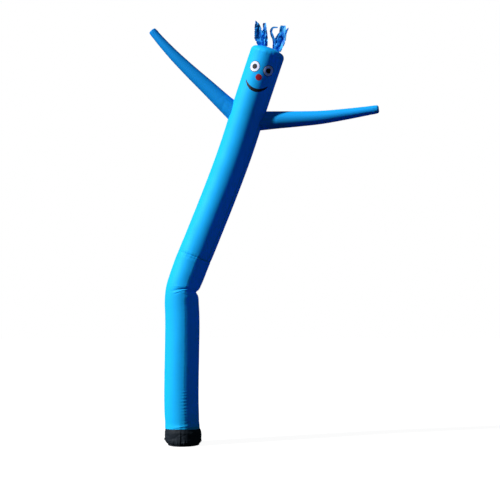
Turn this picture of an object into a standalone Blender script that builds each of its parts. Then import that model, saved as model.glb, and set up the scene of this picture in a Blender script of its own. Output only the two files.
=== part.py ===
"""Inflatable air dancer: a figure of thin cloth tubes, blown upright by air from below.

Metres, +Z up. The origin is the centre of the cuff's mouth, level with the ground. The figure
faces -Y and leans towards +X above its bend.
"""

import math
from collections import namedtuple

import bmesh
import bpy
import numpy as np

# Driving dimensions
TUBE_RADIUS = 0.2285
CLOTH = 0.002
CUFF_CLOTH = 0.003
GAP = 0.0003
BODY_SIDES = 28
ARM_SIDES = 16

# Heights along the body's centre line
BODY_FOOT = 0.230
CUFF_TOP = 0.258
UPPER_FOOT = 2.520
LOWER_TOP = 2.544
SHOULDER = 5.380

# Crown of the head: a rounded shoulder of one radius that runs on into a shallow dome
CROWN_CORNER = 0.068
DOME_SLOPE = math.radians(19)
CORNER_STEPS = 4
DOME_SHARES = (0.66, 0.33, 0.0)
DOME_EDGE = TUBE_RADIUS - CROWN_CORNER + CROWN_CORNER * math.sin(DOME_SLOPE)
DOME_RADIUS = DOME_EDGE / math.sin(DOME_SLOPE)
DOME_FOOT = SHOULDER + CROWN_CORNER * math.cos(DOME_SLOPE)
CROWN_TOP = DOME_FOOT + DOME_RADIUS * (1 - math.cos(DOME_SLOPE))

# Cuff
CUFF_FLARE = 0.009
HEM_DRAW = 0.022
HEM_FLAT = 0.012
HEM_ROUND = 0.050

# Rows of the cuff and of the body's two lengths: each (height to reach, rows up to it)
CUFF_ROWS = ((HEM_FLAT, 1), (HEM_FLAT + HEM_ROUND, 3), (0.188, 5), (BODY_FOOT, 1), (CUFF_TOP, 2))
LOWER_ROWS = (
    (CUFF_TOP, 2), (0.330, 2), (1.880, 6), (1.960, 3), (2.140, 9), (2.260, 3), (2.480, 3),
    (UPPER_FOOT, 2), (LOWER_TOP, 2),
)
UPPER_ROWS = ((LOWER_TOP, 2), (2.600, 2), (4.000, 5), (SHOULDER - 0.120, 6))
CREASE_POWER = 1.5

# Arms
ARM_TUCK = 0.012
ARM_ROWS = 11
TIP_TURNS = (30, 60, 90)
END_SCALES = (0.5, 0.0)
CUTTER_START = 0.010
CUTTER_END = 0.340
CUTTER_ROWS = 6

# Hair
PAD_THICK = 0.005
PAD_CELLS = (6, 3)
ROOT_LIFT = 0.0025
LOCK_THICK = 0.0024
LOCK_ROWS = 8
LOCK_ROOT = 0.55
LOCK_BELLY = 0.4
LOCK_TAPER_POWER = 4

# Fineness of the search for where an arm meets the body, of merging and of shading
LINE_SAMPLES = 400
HALVINGS = 24
MERGE = 1e-5
SHARP_ANGLE = math.radians(50)

Station = namedtuple("Station", "x y z")
Fold = namedtuple("Fold", "along tilt angle spread width depth")
Sleeve = namedtuple("Sleeve", "name root_along root_radius tip_radius tip_corner stations")
Lock = namedtuple("Lock", "width tip_width turn stations")
Tuft = namedtuple("Tuft", "name across deep half_wide half_deep locks")
Ring = namedtuple("Ring", "sleeve tip scale")

# The body's centre line, from the mouth to the crown
BODY_STATIONS = (
    Station(0.000, 0.000, 0.000),
    Station(0.000, 0.000, 0.100),
    Station(-0.009, -0.002, 0.268),
    Station(-0.020, -0.004, 0.532),
    Station(-0.022, -0.007, 0.850),
    Station(-0.018, -0.010, 1.170),
    Station(-0.015, -0.014, 1.726),
    Station(-0.021, -0.015, 1.886),
    Station(-0.010, -0.019, 2.060),
    Station(0.074, -0.027, 2.315),
    Station(0.237, -0.043, 2.717),
    Station(0.495, -0.081, 3.360),
    Station(0.730, -0.150, 3.998),
    Station(0.897, -0.237, 4.507),
    Station(1.058, -0.336, 4.981),
    Station(1.141, -0.392, 5.221),
)

# Troughs and ridges of the body: along and width in metres up it, angle and spread in degrees
# round it from +X towards +Y, tilt in metres up it for each radian round, depth inwards
BODY_FOLDS = (
    Fold(along=2.040, tilt=0.000, angle=0, spread=95, width=0.045, depth=0.034),
    Fold(along=2.060, tilt=0.000, angle=0, spread=80, width=0.130, depth=0.012),
    Fold(along=2.150, tilt=0.000, angle=180, spread=80, width=0.120, depth=0.008),
    Fold(along=2.052, tilt=-0.020, angle=-88, spread=48, width=0.022, depth=0.011),
    Fold(along=2.020, tilt=0.045, angle=-98, spread=34, width=0.020, depth=0.007),
    Fold(along=2.105, tilt=-0.060, angle=-60, spread=40, width=0.045, depth=-0.006),
    Fold(along=1.985, tilt=0.050, angle=-50, spread=42, width=0.045, depth=-0.005),
    Fold(along=2.050, tilt=0.030, angle=88, spread=44, width=0.024, depth=0.010),
    Fold(along=2.532, tilt=0.004, angle=0, spread=400, width=0.020, depth=0.004),
    Fold(along=2.460, tilt=0.000, angle=-90, spread=70, width=0.030, depth=-0.002),
    Fold(along=0.300, tilt=0.000, angle=-120, spread=400, width=0.060, depth=0.004),
    Fold(along=0.268, tilt=0.000, angle=-90, spread=60, width=0.016, depth=-0.005),
)

# Crumples of the cuff, in the same terms
CUFF_FOLDS = (
    Fold(along=0.075, tilt=0.000, angle=178, spread=24, width=0.018, depth=-0.013),
    Fold(along=0.010, tilt=0.000, angle=184, spread=75, width=0.038, depth=0.020),
    Fold(along=0.120, tilt=0.020, angle=0, spread=50, width=0.070, depth=-0.010),
    Fold(along=0.105, tilt=0.060, angle=-120, spread=34, width=0.026, depth=0.006),
    Fold(along=0.150, tilt=-0.070, angle=-150, spread=30, width=0.024, depth=0.005),
    Fold(along=0.060, tilt=0.030, angle=-75, spread=30, width=0.022, depth=-0.005),
    Fold(along=0.110, tilt=0.040, angle=-40, spread=34, width=0.028, depth=0.005),
    Fold(along=0.090, tilt=-0.050, angle=60, spread=44, width=0.030, depth=0.006),
    Fold(along=0.140, tilt=0.030, angle=120, spread=40, width=0.030, depth=-0.006),
)

ARMS = (
    Sleeve(
        name="arm_left",
        root_along=0.140,
        root_radius=0.119,
        tip_radius=0.051,
        tip_corner=0.010,
        stations=(
            Station(0.743, -0.185, 4.359),
            Station(0.642, -0.185, 4.455),
            Station(0.516, -0.186, 4.576),
            Station(0.355, -0.187, 4.730),
            Station(0.031, -0.189, 5.034),
            Station(-0.131, -0.190, 5.195),
            Station(-0.293, -0.191, 5.371),
            Station(-0.428, -0.192, 5.530),
        ),
    ),
    Sleeve(
        name="arm_right",
        root_along=0.130,
        root_radius=0.124,
        tip_radius=0.052,
        tip_corner=0.026,
        stations=(
            Station(0.930, -0.185, 4.298),
            Station(1.071, -0.209, 4.300),
            Station(1.210, -0.233, 4.304),
            Station(1.528, -0.287, 4.309),
            Station(1.841, -0.341, 4.319),
            Station(2.153, -0.394, 4.349),
            Station(2.575, -0.467, 4.400),
        ),
    ),
)

# Each lock rises from the crown: stations are places right of, behind and above its middle
TUFTS = (
    Tuft(
        name="hair_left",
        across=-0.086,
        deep=0.002,
        half_wide=0.064,
        half_deep=0.030,
        locks=(
            Lock(0.088, 0.008, 8, (
                Station(-0.106, 0.012, 0.000), Station(-0.136, 0.026, 0.110),
                Station(-0.147, 0.022, 0.205), Station(-0.162, 0.012, 0.295),
                Station(-0.182, 0.004, 0.362))),
            Lock(0.044, 0.038, -14, (
                Station(-0.048, -0.008, 0.000), Station(-0.048, -0.018, 0.120),
                Station(-0.058, -0.014, 0.230), Station(-0.066, -0.002, 0.330))),
            Lock(0.038, 0.014, 30, (
                Station(-0.084, -0.018, 0.000), Station(-0.092, -0.032, 0.105),
                Station(-0.084, -0.040, 0.180), Station(-0.080, -0.034, 0.246))),
            Lock(0.034, 0.012, -24, (
                Station(-0.068, 0.020, 0.000), Station(-0.062, 0.040, 0.100),
                Station(-0.070, 0.056, 0.170), Station(-0.076, 0.064, 0.216))),
        ),
    ),
    Tuft(
        name="hair_right",
        across=0.098,
        deep=-0.034,
        half_wide=0.056,
        half_deep=0.030,
        locks=(
            Lock(0.036, 0.012, 0, (
                Station(0.056, -0.052, 0.000), Station(0.054, -0.072, 0.085),
                Station(0.030, -0.078, 0.145), Station(0.020, -0.076, 0.198),
                Station(0.040, -0.084, 0.234), Station(0.108, -0.098, 0.238))),
            Lock(0.042, 0.014, 14, (
                Station(0.064, -0.024, 0.000), Station(0.084, -0.016, 0.075),
                Station(0.104, -0.010, 0.130), Station(0.132, -0.008, 0.192))),
            Lock(0.064, 0.050, -12, (
                Station(0.124, -0.056, 0.000), Station(0.160, -0.078, 0.095),
                Station(0.172, -0.084, 0.185), Station(0.180, -0.074, 0.270))),
            Lock(0.048, 0.026, 20, (
                Station(0.104, -0.032, 0.000), Station(0.146, -0.036, 0.100),
                Station(0.152, -0.030, 0.180), Station(0.156, -0.018, 0.246))),
            Lock(0.052, 0.008, 10, (
                Station(0.126, -0.012, 0.000), Station(0.182, -0.010, 0.095),
                Station(0.200, -0.022, 0.175), Station(0.250, -0.046, 0.250))),
        ),
    ),
)

# Finishes: colour, roughness
BLUE_NYLON = ("blue_nylon", (0.012, 0.290, 0.780), 0.45)
BLACK_NYLON = ("black_nylon", (0.012, 0.013, 0.016), 0.62)


class Spine:
    """A smooth line through stations, read by the distance along it."""

    def __init__(self, stations):
        self.knots = np.array(stations, float)
        steps = np.linalg.norm(np.diff(self.knots, axis=0), axis=1)
        self.along = np.concatenate([[0.0], np.cumsum(steps)])
        self.slopes = np.gradient(self.knots, self.along, axis=0)

    @property
    def length(self):
        return self.along[-1]

    def at(self, along):
        """Point and unit direction. Past either end the line runs on straight."""
        inside = min(max(along, 0.0), self.length)
        span = min(max(np.searchsorted(self.along, inside) - 1, 0), len(self.along) - 2)
        size = self.along[span + 1] - self.along[span]
        t = (inside - self.along[span]) / size
        start, end = self.knots[span], self.knots[span + 1]
        leave, arrive = self.slopes[span] * size, self.slopes[span + 1] * size
        point = (
            start * (2 * t**3 - 3 * t**2 + 1)
            + leave * (t**3 - 2 * t**2 + t)
            + end * (3 * t**2 - 2 * t**3)
            + arrive * (t**3 - t**2)
        )
        slope = (
            (start - end) * (6 * t**2 - 6 * t)
            + leave * (3 * t**2 - 4 * t + 1)
            + arrive * (3 * t**2 - 2 * t)
        )
        heading = slope / np.linalg.norm(slope)
        return point + heading * (along - inside), heading

    def around(self, along, lead):
        """Point and the two directions across the line: lead squared to it, and the next."""
        point, heading = self.at(along)
        side = np.array(lead) - heading * np.dot(lead, heading)
        side /= np.linalg.norm(side)
        return point, side, np.cross(heading, side)

    def distance(self, point):
        """Distance from a point to the line, from its nearest sample."""
        samples = [self.at(along)[0] for along in np.linspace(0, self.length, LINE_SAMPLES)]
        return min(np.linalg.norm(np.array(samples) - point, axis=1))


BODY = Spine(BODY_STATIONS)
RIGHTWARD = (1.0, 0.0, 0.0)
BACKWARD = (0.0, 1.0, 0.0)


def turn_between(angle, centre):
    """Signed angle from centre to angle, in radians, the short way round."""
    return math.remainder(angle - math.radians(centre), math.tau)


def folds_depth(folds, angle, along):
    """How far the folds pull the cloth inwards at one place."""
    depth = 0.0
    for fold in folds:
        turn = turn_between(angle, fold.angle)
        reach = min(abs(turn) / math.radians(fold.spread), 1.0)
        offset = (along - fold.along - fold.tilt * turn) / fold.width
        crease = math.exp(-abs(offset) ** CREASE_POWER)
        depth += fold.depth * math.cos(reach * math.pi / 2) ** 2 * crease
    return depth


def body_point(angle, along, radius=TUBE_RADIUS, inset=0.0):
    """A point of the body's outer face, or inset from it."""
    point, right, back = BODY.around(along, RIGHTWARD)
    reach = radius - inset - folds_depth(BODY_FOLDS, angle, along) * radius / TUBE_RADIUS
    return point + (right * math.cos(angle) + back * math.sin(angle)) * max(reach, 0.0)


def cuff_point(angle, along):
    """A point of the cuff's outer face: tucked in the body at its top, drawn in at its hem."""
    inset = CLOTH + GAP
    if along >= BODY_FOOT:
        return body_point(angle, along, inset=inset)
    height = max(along, HEM_FLAT)
    hem = max(1 - (height - HEM_FLAT) / HEM_ROUND, 0.0)
    below_top = min((BODY_FOOT - height) / HEM_ROUND, 1.0)
    swell = CUFF_FLARE * below_top - HEM_DRAW * hem**2
    swell -= folds_depth(CUFF_FOLDS, angle, height) * min(below_top * 2, 1.0)
    swell -= (inset + folds_depth(BODY_FOLDS, angle, height)) * (1 - below_top)
    point, right, back = BODY.around(height, RIGHTWARD)
    point = point + (right * math.cos(angle) + back * math.sin(angle)) * (TUBE_RADIUS + swell)
    if along < HEM_FLAT:
        point[2] = along
    return point


def spread(start, stops):
    """Rows from the start up to each stop in turn."""
    rows = [start]
    for end, count in stops:
        rows.extend(np.linspace(rows[-1], end, count + 1)[1:])
    return rows


def mesh_data(mesh, name):
    data = bpy.data.meshes.new(name)
    mesh.to_mesh(data)
    mesh.free()
    return data


def set_rows(mesh, rows, place):
    """Divides a shape 1 m tall into rows. place(angle, row) gives the points of each row."""
    uprights = [edge for edge in mesh.edges if edge.verts[0].co.z * edge.verts[1].co.z < 0]
    bmesh.ops.subdivide_edges(mesh, edges=uprights, cuts=len(rows) - 2, use_grid_fill=True)
    for vert in mesh.verts:
        row = rows[round((vert.co.z + 0.5) * (len(rows) - 1))]
        vert.co = place(math.atan2(vert.co.y, vert.co.x), row)


def tube_mesh(name, sides, rows, place, capped=False):
    """A tube of cloth, its rings set by place."""
    mesh = bmesh.new()
    bmesh.ops.create_cone(
        mesh, cap_ends=capped, segments=sides, radius1=1, radius2=1, depth=1
    )
    set_rows(mesh, rows, place)
    bmesh.ops.remove_doubles(mesh, verts=mesh.verts, dist=MERGE)
    return mesh_data(mesh, name)


def material(finish):
    """The Principled material of a finish, made once."""
    name, colour, roughness = finish
    if name not in bpy.data.materials:
        made = bpy.data.materials.new(name)
        made.use_nodes = True
        shader = made.node_tree.nodes["Principled BSDF"]
        shader.inputs["Base Color"].default_value = (*colour, 1)
        shader.inputs["Roughness"].default_value = roughness
        shader.inputs["Metallic"].default_value = 0
    return bpy.data.materials[name]


def add_object(data, collection, finish):
    """A sub-part with its finish."""
    made = bpy.data.objects.new(data.name, data)
    data.materials.append(material(finish))
    data.shade_smooth()
    data.set_sharp_from_angle(angle=SHARP_ANGLE)
    collection.objects.link(made)
    return made


def add_helper(data, collection):
    """An object that only cuts or joins, left out of the part."""
    made = bpy.data.objects.new(data.name, data)
    collection.objects.link(made)
    made.hide_render = True
    made.display_type = "WIRE"
    return made


def thicken(made, thickness):
    """Gives a sheet its cloth's thickness, inwards from its outer face."""
    wall = made.modifiers.new("cloth", "SOLIDIFY")
    wall.thickness = thickness
    wall.offset = -1
    wall.use_even_offset = True


def add_boolean(made, other, operation):
    """Cuts a helper out of a sub-part, or joins it on."""
    change = made.modifiers.new(other.name, "BOOLEAN")
    change.operation = operation
    change.object = other
    change.solver = "EXACT"


def build_cuff(parts):
    """Black band round the mouth, its hem gathered in."""
    data = tube_mesh("base_cuff", BODY_SIDES, spread(0.0, CUFF_ROWS), cuff_point)
    thicken(add_object(data, parts, BLACK_NYLON), CUFF_CLOTH)


def build_body_lower(parts):
    """Lower length of the body, through the bend, its top tucked inside the upper length."""
    tuck = CLOTH + GAP

    def place(angle, along):
        return body_point(angle, along, inset=tuck if along >= UPPER_FOOT else 0.0)

    data = tube_mesh("body_lower", BODY_SIDES, spread(BODY_FOOT, LOWER_ROWS), place)
    thicken(add_object(data, parts, BLUE_NYLON), CLOTH)


def dome_height(radius):
    """Height of the crown's dome at a distance from its middle, from 0 at the middle down."""
    return math.sqrt(DOME_RADIUS**2 - radius**2) - DOME_RADIUS


def crown_rows():
    """(along, radius) of the rings that round the head off into its crown."""
    rows = []
    flat = TUBE_RADIUS - CROWN_CORNER
    for step in range(CORNER_STEPS + 1):
        turn = (math.pi / 2 - DOME_SLOPE) * step / CORNER_STEPS
        rows.append((SHOULDER + CROWN_CORNER * math.sin(turn), flat + CROWN_CORNER * math.cos(turn)))
    for share in DOME_SHARES:
        rows.append((CROWN_TOP + dome_height(DOME_EDGE * share), DOME_EDGE * share))
    return rows


def build_body_upper(parts, holes):
    """Upper length of the body with the closed head, and a hole where each arm joins it."""
    rows = [(along, TUBE_RADIUS) for along in spread(UPPER_FOOT, UPPER_ROWS)] + crown_rows()
    data = tube_mesh("body_upper", BODY_SIDES, rows, lambda angle, row: body_point(angle, *row))
    made = add_object(data, parts, BLUE_NYLON)
    thicken(made, CLOTH)
    for hole in holes:
        add_boolean(made, hole, "DIFFERENCE")


def sleeve_point(sleeve, spine, angle, along, outset=0.0):
    """A point of an arm's outer face, tapering evenly, its tip's edge rounded."""
    taper = (along - sleeve.root_along) / (spine.length - sleeve.root_along)
    radius = sleeve.root_radius + (sleeve.tip_radius - sleeve.root_radius) * taper
    point, side, next_side = spine.around(along, BACKWARD)
    return point + (side * math.cos(angle) + next_side * math.sin(angle)) * (radius + outset)


def root_start(sleeve, spine, angle):
    """Where along the arm this line of its cloth meets the inside of the body."""
    inner, outer = 0.0, sleeve.root_along * 2
    for _ in range(HALVINGS):
        middle = (inner + outer) / 2
        inside = BODY.distance(sleeve_point(sleeve, spine, angle, middle)) < TUBE_RADIUS - ARM_TUCK
        inner, outer = (middle, outer) if inside else (inner, middle)
    return inner


def arm_rings(sleeve):
    """Rings of an arm: share of the sleeve, share of the tip's corner, share of the radius."""
    rings = [Ring(share, 0.0, 1.0) for share in np.linspace(0, 1, ARM_ROWS)]
    corner = sleeve.tip_corner / sleeve.tip_radius
    for turn in map(math.radians, TIP_TURNS):
        rings.append(Ring(1.0, math.sin(turn), 1 - corner * (1 - math.cos(turn))))
    return rings + [Ring(1.0, 1.0, scale) for scale in END_SCALES]


def build_arm(sleeve, parts):
    """A tapering sleeve from a curved root, just inside the body, to its closed tip."""
    spine = Spine(sleeve.stations)
    end = spine.length - sleeve.tip_corner
    starts = {}

    def place(angle, ring):
        side = round(angle * ARM_SIDES / math.tau)
        if side not in starts:
            starts[side] = root_start(sleeve, spine, angle)
        along = starts[side] + (end - starts[side]) * ring.sleeve + sleeve.tip_corner * ring.tip
        middle = spine.at(along)[0]
        return middle + (sleeve_point(sleeve, spine, angle, along) - middle) * ring.scale

    data = tube_mesh(sleeve.name, ARM_SIDES, arm_rings(sleeve), place)
    thicken(add_object(data, parts, BLUE_NYLON), CLOTH)


def build_arm_hole(sleeve, helpers):
    """The solid that cuts an arm's hole in the body, just clear of the sleeve."""
    spine = Spine(sleeve.stations)

    def place(angle, along):
        return sleeve_point(sleeve, spine, angle, along, outset=GAP)

    rows = spread(CUTTER_START, [(CUTTER_END, CUTTER_ROWS)])
    data = tube_mesh(sleeve.name + "_hole", ARM_SIDES, rows, place, capped=True)
    return add_helper(data, helpers)


def crown_place(across, deep, lift):
    """A point over the crown's dome, in the head's own directions."""
    middle, right, back = BODY.around(CROWN_TOP, RIGHTWARD)
    up = np.cross(right, back)
    height = dome_height(math.hypot(across, deep)) + lift
    return middle + right * across + back * deep + up * height


def build_lock(name, tuft, lock, helpers):
    """One ribbon of cloth: four sides, widest low down, turning slowly as it rises."""
    root = lock.stations[0]
    middle = crown_place(0.0, 0.0, 0.0)
    stations = [crown_place(root.x, root.y, ROOT_LIFT)]
    stations += [middle + np.array(station) for station in lock.stations[1:]]
    spine = Spine(stations)

    def place(angle, share):
        half_width = math.copysign(0.5, math.cos(angle))
        half_thick = math.copysign(0.5, math.sin(angle)) * LOCK_THICK
        if share == 0:
            across = root.x - half_width * lock.width * LOCK_ROOT
            return crown_place(across, root.y - half_thick, ROOT_LIFT)
        point, back, left = spine.around(spine.length * share, BACKWARD)
        turn = math.pi / 2 + math.radians(lock.turn) * share
        along_width = back * math.cos(turn) + left * math.sin(turn)
        along_thick = left * math.cos(turn) - back * math.sin(turn)
        belly = math.sin(math.pi / 2 * min(share / LOCK_BELLY, 1.0))
        swell = LOCK_ROOT + (1 - LOCK_ROOT) * belly
        late = share**LOCK_TAPER_POWER
        width = lock.tip_width * late + lock.width * swell * (1 - late)
        return point + along_width * half_width * width + along_thick * half_thick

    mesh = bmesh.new()
    bmesh.ops.create_cube(mesh, size=1)
    set_rows(mesh, spread(0.0, [(1.0, LOCK_ROWS)]), place)
    return add_helper(mesh_data(mesh, name), helpers)


def build_tuft(tuft, parts, helpers):
    """A small backing sewn on the crown, with the locks' roots fused into it."""
    mesh = bmesh.new()
    bmesh.ops.create_grid(mesh, x_segments=PAD_CELLS[0], y_segments=PAD_CELLS[1], size=1)
    for vert in mesh.verts:
        across = tuft.across + vert.co.x * tuft.half_wide
        deep = tuft.deep + vert.co.y * tuft.half_deep
        vert.co = crown_place(across, deep, GAP + PAD_THICK)
    made = add_object(mesh_data(mesh, tuft.name), parts, BLUE_NYLON)
    thicken(made, PAD_THICK)
    for number, lock in enumerate(tuft.locks):
        add_boolean(made, build_lock(f"{tuft.name}_lock_{number}", tuft, lock, helpers), "UNION")


def main():
    for old in list(bpy.data.objects):
        bpy.data.objects.remove(old)
    parts = bpy.data.collections.new("air_dancer")
    helpers = bpy.data.collections.new("cutters")
    for collection in (parts, helpers):
        bpy.context.scene.collection.children.link(collection)
    build_cuff(parts)
    build_body_lower(parts)
    build_body_upper(parts, [build_arm_hole(sleeve, helpers) for sleeve in ARMS])
    for sleeve in ARMS:
        build_arm(sleeve, parts)
    for tuft in TUFTS:
        build_tuft(tuft, parts, helpers)


main()
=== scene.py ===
"""Looks of the inflatable air dancer: its blown nylon tubes, seams, cuff, hair and printed face.

Metres, +Z up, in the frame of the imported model. The figure faces -Y.
"""

import logging
import math
from collections.abc import Callable, Sequence
from dataclasses import dataclass
from enum import Enum
from typing import Any, NamedTuple

import bpy
import numpy as np
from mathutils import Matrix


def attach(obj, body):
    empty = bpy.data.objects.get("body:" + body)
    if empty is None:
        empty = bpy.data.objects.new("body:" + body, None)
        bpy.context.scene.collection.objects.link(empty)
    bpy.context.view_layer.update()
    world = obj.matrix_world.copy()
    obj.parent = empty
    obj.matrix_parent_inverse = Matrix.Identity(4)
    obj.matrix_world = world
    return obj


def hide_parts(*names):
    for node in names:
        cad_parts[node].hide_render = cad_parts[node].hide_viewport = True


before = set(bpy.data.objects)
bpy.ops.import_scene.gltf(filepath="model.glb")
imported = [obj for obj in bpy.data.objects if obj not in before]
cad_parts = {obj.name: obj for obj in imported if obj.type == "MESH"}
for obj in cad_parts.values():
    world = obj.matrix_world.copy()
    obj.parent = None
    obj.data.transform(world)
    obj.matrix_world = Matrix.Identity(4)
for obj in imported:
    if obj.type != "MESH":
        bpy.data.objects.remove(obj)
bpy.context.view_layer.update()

LOG = logging.getLogger("air_dancer")
ROOT = "root"
CLOTH_MAP = "cloth"

RIPSTOP_PITCH = 0.0062
RIPSTOP_WIDTH = 0.16
LAP_WIDTH = 0.011
LAP_LIFT = 0.0006

Colour = tuple[float, float, float]
Point = tuple[float, float, float]
Place = tuple[float, float]
Surface = Callable[[np.ndarray, np.ndarray, float], np.ndarray]

RIGHTWARD = (1.0, 0.0, 0.0)
BACKWARD = (0.0, 1.0, 0.0)


class Slot(Enum):
    """Material slots of the record."""

    BLUE = "blue_nylon"
    BLACK = "black_nylon"


class Hold(Enum):
    """How a sheet of cloth is held."""

    STRETCHED = "stretched"
    GATHERED = "gathered"


class Fold(NamedTuple):
    """A trough of a tube: places in metres and degrees, depth in metres inwards."""

    along: float
    tilt: float
    angle: float
    spread: float
    width: float
    depth: float


class Puckers(NamedTuple):
    """Small ripples beside a seam: its place, their reach, pitch, depth, seed and evenness."""

    place: float
    reach: float
    pitch: float
    depth: float
    seed: int
    even: bool = False


# Node wiring


def operator(operation: str, swapped: bool = False) -> Callable[..., "Wire"]:
    """A method of a wire that adds a Math node.

    Args:
        operation: The node's operation.
        swapped: Whether the other value comes first.

    Returns:
        The method.
    """

    def method(wire: "Wire", *others: Any) -> "Wire":
        """Works the operation out."""
        values = (*others, wire) if swapped else (wire, *others)
        sockets = dict(enumerate(values))
        return wire.shader.node("ShaderNodeMath", {"operation": operation}, sockets)[0]

    return method


class Wire:
    """A socket's value on its way between nodes. Operators add Math nodes."""

    def __init__(self, shader: "Shader", socket: bpy.types.NodeSocket) -> None:
        """Keeps the socket and the shader whose nodes it feeds."""
        self.shader = shader
        self.socket = socket

    __add__, __radd__ = operator("ADD"), operator("ADD", swapped=True)
    __sub__, __rsub__ = operator("SUBTRACT"), operator("SUBTRACT", swapped=True)
    __mul__, __truediv__ = operator("MULTIPLY"), operator("DIVIDE")
    __abs__, fraction, largest = operator("ABSOLUTE"), operator("FRACT"), operator("MAXIMUM")

    def ramp(self, low: float, high: float) -> "Wire":
        """Runs smoothly from 0 at low to 1 at high.

        Args:
            low: Value that gives 0. It may be above high.
            high: Value that gives 1.

        Returns:
            The eased share.
        """
        start, end = min(low, high), max(low, high)
        settings = {"interpolation_type": "SMOOTHSTEP"}
        sockets = {"Value": self, "From Min": start, "From Max": end}
        share = self.shader.node("ShaderNodeMapRange", settings, sockets)["Result"]
        return share if low < high else 1 - share


class Outputs:
    """The output sockets of a node, by name or number."""

    def __init__(self, shader: "Shader", made: bpy.types.Node) -> None:
        """Keeps the node."""
        self.shader = shader
        self.made = made

    def __getitem__(self, key: str | int) -> Wire:
        """One output as a wire."""
        return Wire(self.shader, self.made.outputs[key])


class Shader:
    """A material under construction."""

    def __init__(self, name: str) -> None:
        """Starts an empty node tree."""
        self.material = bpy.data.materials.new(name)
        self.material.use_nodes = True
        self.tree = self.material.node_tree
        self.tree.nodes.clear()

    def node(self, kind: str, settings: dict[str, Any] | None = None,
             sockets: dict[str | int, Any] | None = None) -> Outputs:
        """Adds a node.

        Args:
            kind: Its Blender type.
            settings: Attributes, set first.
            sockets: Values or wires for its inputs, by name or number.

        Returns:
            Its outputs.
        """
        made = self.tree.nodes.new(kind)
        for key, value in (settings or {}).items():
            setattr(made, key, value)
        for key, value in (sockets or {}).items():
            if isinstance(value, Wire):
                self.tree.links.new(value.socket, made.inputs[key])
            else:
                made.inputs[key].default_value = value
        return Outputs(self, made)

    def blend(self, share: Any, first: Any, second: Any) -> Wire:
        """Mixes two colours.

        Args:
            share: How much of the second.
            first: Colour or wire.
            second: Colour or wire.

        Returns:
            The mixed colour.
        """
        sockets = {0: share, 6: rgba(first), 7: rgba(second)}
        return self.node("ShaderNodeMix", {"data_type": "RGBA"}, sockets)[2]

    def cloth_place(self) -> tuple[Wire, Wire, Wire]:
        """Place on the flat cloth, in metres: the vector, across and along."""
        place = self.node("ShaderNodeUVMap", {"uv_map": CLOTH_MAP})["UV"]
        split = self.node("ShaderNodeSeparateXYZ", None, {0: place})
        return place, split["X"], split["Y"]

    def noise(self, place: Wire, scale: float, detail: float = 2.0,
              stretch: Point = (1.0, 1.0, 1.0)) -> Wire:
        """Cloudy values around a half.

        Args:
            place: Coordinates.
            scale: Clouds in a metre.
            detail: Octaves.
            stretch: Scale along each axis.

        Returns:
            The noise's value.
        """
        mapped = self.node("ShaderNodeMapping", {"vector_type": "POINT"},
                           {"Vector": place, "Scale": stretch})["Vector"]
        sockets = {"Vector": mapped, "Scale": scale, "Detail": detail}
        return self.node("ShaderNodeTexNoise", None, sockets)[0]

    def bump(self, height: Wire, distance: float) -> Wire:
        """Normals of a height field, its distance in metres."""
        sockets = {"Height": height, "Distance": distance, "Strength": 1.0}
        return self.node("ShaderNodeBump", None, sockets)["Normal"]

    def finish(self, sockets: dict[str | int, Any], glow: Colour | None = None,
               through: Any = 0.0) -> bpy.types.Material:
        """Sends a surface to the output.

        Args:
            sockets: Inputs of its principled shader.
            glow: Colour of the light that comes through it, if any does.
            through: Share of that light.

        Returns:
            The finished material.
        """
        surface = self.node("ShaderNodeBsdfPrincipled", None, sockets)[0]
        if glow:
            light = self.node("ShaderNodeBsdfTranslucent", None, {"Color": rgba(glow)})[0]
            mixed = {0: through, 1: surface, 2: light}
            surface = self.node("ShaderNodeMixShader", None, mixed)[0]
        self.node("ShaderNodeOutputMaterial", None, {"Surface": surface})
        return self.material


def rgba(colour: Any) -> Any:
    """A colour with its alpha. A wire is left as it is."""
    return colour if isinstance(colour, Wire) else (*colour, 1.0)


def grid_lines(place: Wire, pitch: float, width: float) -> Wire:
    """Narrow lines across one direction of the cloth.

    Args:
        place: Distance in metres.
        pitch: From line to line.
        width: Share of the pitch that a line takes.

    Returns:
        1 on the lines, 0 between them.
    """
    return abs((place / pitch).fraction() - 0.5).ramp(width, width * 0.3)


def ripstop_lines(across: Wire, along: Wire) -> Wire:
    """The cloth's grid of thicker threads."""
    lines = [grid_lines(place, RIPSTOP_PITCH, RIPSTOP_WIDTH) for place in (across, along)]
    return lines[0].largest(lines[1])


# Finishes


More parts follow.
